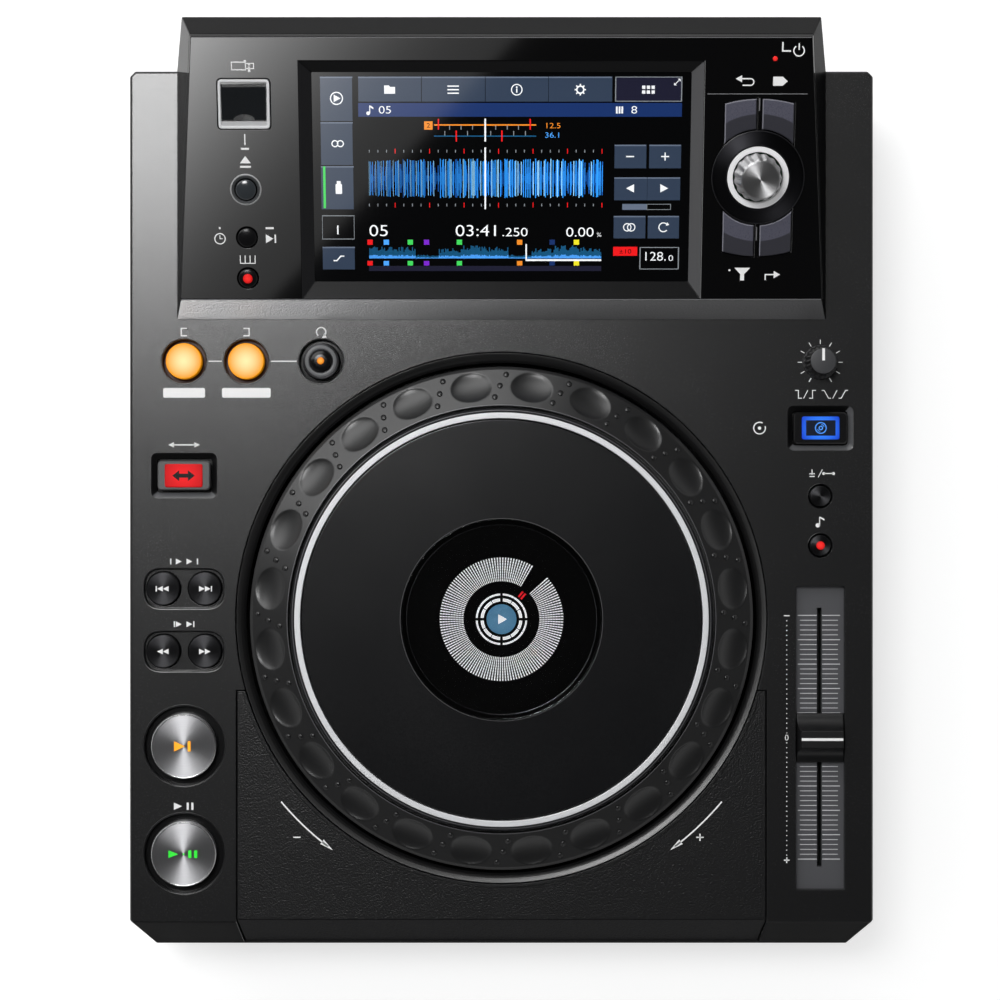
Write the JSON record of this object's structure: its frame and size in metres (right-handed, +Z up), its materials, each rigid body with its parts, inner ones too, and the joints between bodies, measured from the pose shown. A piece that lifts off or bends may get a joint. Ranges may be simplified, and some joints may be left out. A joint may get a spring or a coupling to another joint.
{
  "type": "dj multi player",
  "caption": "Tabletop DJ player: jog wheel with centre display, transport and loop keys, tempo fader, and a raised tilted pod with a touch screen and rotary selector.",
  "frame": {"origin": "on the table, under the middle of the whole outline", "axes": "+X to the user's right, +Y towards the rear with the pod, +Z up"},
  "size_m": [0.306, 0.385, 0.1075],
  "materials": {
    "case_plastic": "satin black moulded plastic",
    "grained_plastic": "black plastic with a fine leather grain",
    "gloss_plastic": "high-gloss black plastic",
    "jog_rim_plastic": "satin dark grey moulded plastic",
    "platter_metal": "fine satin black",
    "silver_metal": "turned, satin",
    "spun_metal": "spun radial brush",
    "foot_rubber": "matt",
    "key_plastic": "satin grey keys",
    "key_orange": "lit translucent orange",
    "key_red": "lit translucent red",
    "key_blue": "lit translucent blue",
    "light_plastic": "frosted white light guide",
    "knob_rubber": "soft-touch black",
    "scale_plastic": "satin grey with white ticks",
    "screen_glass": "clear, reflective",
    "screen_module": "display",
    "board": "circuit board",
    "sheet_steel": "plated sheet",
    "steel_painted": "fine textured black",
    "bearing_plastic": "natural acetal"
  },
  "bodies": {
    "case": {"bottom_plate": "steel_painted", "lower_case": "case_plastic", "upper_case": "case_plastic", "front_panel": "grained_plastic", "foot_front_left": "foot_rubber", "foot_front_right": "foot_rubber", "foot_rear_left": "foot_rubber", "foot_rear_right": "foot_rubber", "jog_well": "case_plastic", "jog_bearing": "bearing_plastic", "jog_display": "screen_module", "tempo_scale_plate": "scale_plastic", "left_switch_board": "board", "right_control_board": "board", "display_housing": "case_plastic", "display_face": "gloss_plastic", "touch_glass": "screen_glass", "lcd_module": "screen_module", "display_board": "board", "data_light_frame": "light_plastic", "data_socket": "sheet_steel", "selector_bezel": "gloss_plastic", "main_board": "board", "power_supply": "sheet_steel", "ac_inlet": "knob_rubber", "audio_jacks": "silver_metal", "network_port": "sheet_steel", "computer_port": "sheet_steel"},
    "jog": {"jog_rim": "jog_rim_plastic", "jog_ring": "silver_metal", "jog_gear": "bearing_plastic"},
    "platter": {"jog_platter": "platter_metal", "jog_window": "screen_glass"},
    "pinion": {"encoder_pinion": "bearing_plastic"},
    "loop_in_button": {"loop_in_button": "key_orange"},
    "loop_out_button": {"loop_out_button": "key_orange"},
    "reloop_button": {"reloop_button": "key_plastic"},
    "direction_button": {"direction_button": "key_red"},
    "track_back_button": {"track_back_button": "key_plastic"},
    "track_forward_button": {"track_forward_button": "key_plastic"},
    "search_back_button": {"search_back_button": "key_plastic"},
    "search_forward_button": {"search_forward_button": "key_plastic"},
    "cue_button": {"cue_button": "spun_metal"},
    "play_button": {"play_button": "spun_metal"},
    "tempo_range_button": {"tempo_range_button": "key_plastic"},
    "master_tempo_button": {"master_tempo_button": "key_plastic"},
    "jog_mode_button": {"jog_mode_button": "key_blue"},
    "stop_button": {"stop_button": "key_red"},
    "time_button": {"time_button": "key_plastic"},
    "quantize_button": {"quantize_button": "key_plastic"},
    "back_button": {"back_button": "key_plastic"},
    "tag_button": {"tag_button": "key_plastic"},
    "filter_button": {"filter_button": "key_plastic"},
    "shortcut_button": {"shortcut_button": "key_plastic"},
    "selector": {"selector_shaft": "sheet_steel"},
    "selector_cap": {"selector_knob": "spun_metal"},
    "speed": {"speed_knob": "knob_rubber"},
    "fader": {"fader_cap": "case_plastic"},
    "cover": {"data_cover": "case_plastic"},
    "power": {"power_button": "case_plastic"}
  },
  "joints": [
    {"name": "jog_spin", "type": "hinge", "parent": "case", "child": "jog", "pos_m": [0, -0.05261, 0.073], "axis": [0, 0, 1], "continuous": true},
    {"name": "platter_press", "type": "slide", "parent": "jog", "child": "platter", "axis": [0, 0, -1], "range_m": [0, 0.0005], "stiffness_N_per_m": 6000, "springref_m": -0.001},
    {"name": "pinion_spin", "type": "hinge", "parent": "case", "child": "pinion", "pos_m": [0.072, -0.05261, 0.06], "axis": [0, 0, 1], "continuous": true},
    {"name": "loop_in_press", "type": "slide", "parent": "case", "child": "loop_in_button", "axis": [0, 0, -1], "range_m": [0, 0.001], "stiffness_N_per_m": 400, "springref_m": -0.002},
    {"name": "loop_out_press", "type": "slide", "parent": "case", "child": "loop_out_button", "axis": [0, 0, -1], "range_m": [0, 0.001], "stiffness_N_per_m": 400, "springref_m": -0.002},
    {"name": "reloop_press", "type": "slide", "parent": "case", "child": "reloop_button", "axis": [0, 0, -1], "range_m": [0, 0.001], "stiffness_N_per_m": 400, "springref_m": -0.002},
    {"name": "direction_press", "type": "slide", "parent": "case", "child": "direction_button", "axis": [0, 0, -1], "range_m": [0, 0.001], "stiffness_N_per_m": 400, "springref_m": -0.002},
    {"name": "track_back_press", "type": "slide", "parent": "case", "child": "track_back_button", "axis": [0, 0, -1], "range_m": [0, 0.001], "stiffness_N_per_m": 400, "springref_m": -0.002},
    {"name": "track_forward_press", "type": "slide", "parent": "case", "child": "track_forward_button", "axis": [0, 0, -1], "range_m": [0, 0.001], "stiffness_N_per_m": 400, "springref_m": -0.002},
    {"name": "search_back_press", "type": "slide", "parent": "case", "child": "search_back_button", "axis": [0, 0, -1], "range_m": [0, 0.001], "stiffness_N_per_m": 400, "springref_m": -0.002},
    {"name": "search_forward_press", "type": "slide", "parent": "case", "child": "search_forward_button", "axis": [0, 0, -1], "range_m": [0, 0.001], "stiffness_N_per_m": 400, "springref_m": -0.002},
    {"name": "cue_press", "type": "slide", "parent": "case", "child": "cue_button", "axis": [0, 0, -1], "range_m": [0, 0.001], "stiffness_N_per_m": 400, "springref_m": -0.002},
    {"name": "play_press", "type": "slide", "parent": "case", "child": "play_button", "axis": [0, 0, -1], "range_m": [0, 0.001], "stiffness_N_per_m": 400, "springref_m": -0.002},
    {"name": "tempo_range_press", "type": "slide", "parent": "case", "child": "tempo_range_button", "axis": [0, 0, -1], "range_m": [0, 0.001], "stiffness_N_per_m": 400, "springref_m": -0.002},
    {"name": "master_tempo_press", "type": "slide", "parent": "case", "child": "master_tempo_button", "axis": [0, 0, -1], "range_m": [0, 0.001], "stiffness_N_per_m": 400, "springref_m": -0.002},
    {"name": "jog_mode_press", "type": "slide", "parent": "case", "child": "jog_mode_button", "axis": [0, 0, -1], "range_m": [0, 0.001], "stiffness_N_per_m": 400, "springref_m": -0.002},
    {"name": "stop_press", "type": "slide", "parent": "case", "child": "stop_button", "axis": [0, 0.2323, -0.9727], "range_m": [0, 0.001], "stiffness_N_per_m": 400, "springref_m": -0.002},
    {"name": "time_press", "type": "slide", "parent": "case", "child": "time_button", "axis": [0, 0.2323, -0.9727], "range_m": [0, 0.001], "stiffness_N_per_m": 400, "springref_m": -0.002},
    {"name": "quantize_press", "type": "slide", "parent": "case", "child": "quantize_button", "axis": [0, 0.2323, -0.9727], "range_m": [0, 0.001], "stiffness_N_per_m": 400, "springref_m": -0.002},
    {"name": "back_press", "type": "slide", "parent": "case", "child": "back_button", "axis": [0, 0.2323, -0.9727], "range_m": [0, 0.001], "stiffness_N_per_m": 400, "springref_m": -0.002},
    {"name": "tag_press", "type": "slide", "parent": "case", "child": "tag_button", "axis": [0, 0.2323, -0.9727], "range_m": [0, 0.001], "stiffness_N_per_m": 400, "springref_m": -0.002},
    {"name": "filter_press", "type": "slide", "parent": "case", "child": "filter_button", "axis": [0, 0.2323, -0.9727], "range_m": [0, 0.001], "stiffness_N_per_m": 400, "springref_m": -0.002},
    {"name": "shortcut_press", "type": "slide", "parent": "case", "child": "shortcut_button", "axis": [0, 0.2323, -0.9727], "range_m": [0, 0.001], "stiffness_N_per_m": 400, "springref_m": -0.002},
    {"name": "selector_turn", "type": "hinge", "parent": "case", "child": "selector", "pos_m": [0.1032, 0.12593, 0.09457], "axis": [0, -0.2323, 0.9727], "continuous": true},
    {"name": "selector_press", "type": "slide", "parent": "selector", "child": "selector_cap", "axis": [0, 0.2323, -0.9727], "range_m": [0, 0.001], "stiffness_N_per_m": 400, "springref_m": -0.002},
    {"name": "speed_turn", "type": "hinge", "parent": "case", "child": "speed", "pos_m": [0.1312, 0.05269, 0.073], "axis": [0, 0, 1], "range_deg": [-150, 150]},
    {"name": "fader_slide", "type": "slide", "parent": "case", "child": "fader", "axis": [0, -1, 0], "range_m": [-0.05, 0.05]},
    {"name": "cover_hinge", "type": "hinge", "parent": "case", "child": "cover", "pos_m": [-0.103, 0.16072, 0.10257], "axis": [-1, 0, 0], "range_deg": [0, 90]},
    {"name": "power_press", "type": "slide", "parent": "case", "child": "power", "axis": [0, -1, 0], "range_m": [0, 0.003], "stiffness_N_per_m": 400, "springref_m": -0.002}
  ],
  "couplings": [
    {"joint": "pinion_spin", "follows": "jog_spin", "ratio": -5}
  ]
}
